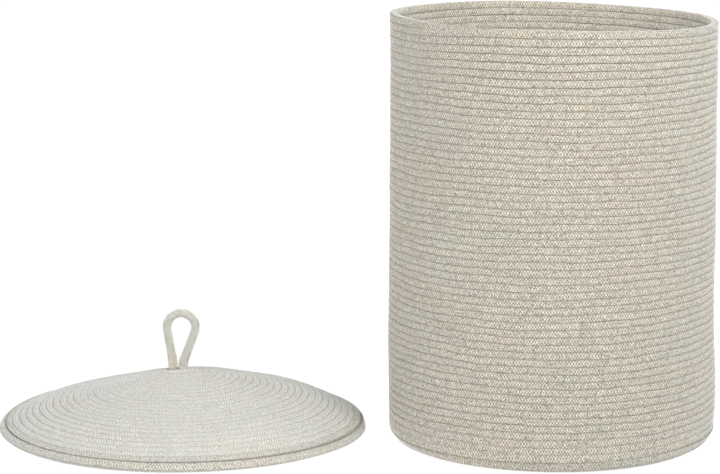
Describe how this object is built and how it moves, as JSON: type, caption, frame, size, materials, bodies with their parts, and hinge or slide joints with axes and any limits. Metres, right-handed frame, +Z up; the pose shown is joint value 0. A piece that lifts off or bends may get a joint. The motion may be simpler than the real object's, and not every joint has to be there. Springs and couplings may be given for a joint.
{
  "type": "laundry hamper with lid",
  "caption": "Tall round laundry hamper coiled from braided cotton rope, with a loose shallow domed lid that has a rope loop handle.",
  "frame": {"origin": "centre of the hamper's flat underside, on the floor it stands on", "axes": "+Z up along the hamper's axis; -X towards the lid, which lies on the floor beside the hamper"},
  "size_m": [0.8425, 0.438, 0.5],
  "materials": {
    "hamper_rope": "braided cotton, matt",
    "lid_rope": "braided cotton, matt",
    "loop_rope": "braided cotton, matt",
    "thread": "twisted cotton thread, matt",
    "filler": "loose cotton filler, matt"
  },
  "bodies": {
    "hamper": {"rim_coil": "hamper_rope", "wall_coil_1": "hamper_rope", "wall_coil_2": "hamper_rope", "wall_coil_3": "hamper_rope", "wall_coil_4": "hamper_rope", "base_edge_coil": "hamper_rope", "base_coil": "hamper_rope", "hamper_needle_thread": "thread", "hamper_bobbin_thread": "thread"},
    "lid": {"lid_lip_coil": "lid_rope", "lid_skirt_coil": "lid_rope", "lid_crown_coil_1": "lid_rope", "lid_crown_coil_2": "lid_rope", "lid_crown_coil_3": "lid_rope", "lid_needle_thread": "thread", "lid_bobbin_thread": "thread", "lid_eye_turn": "lid_rope", "loop_tails": "loop_rope", "tail_tack_thread": "thread"},
    "loop": {"loop_cover": "loop_rope", "loop_core": "filler"}
  },
  "joints": [
    {"name": "lid_lift", "type": "slide", "parent": "hamper", "child": "lid", "axis": [0, 0, 1], "range_m": [0, 0.6]},
    {"name": "loop_tilt", "type": "hinge", "parent": "lid", "child": "loop", "pos_m": [-0.443, 0.03, 0.08375], "axis": [1, 0, 0], "range_deg": [-85, 85], "stiffness_Nm_per_rad": 0.03}
  ]
}
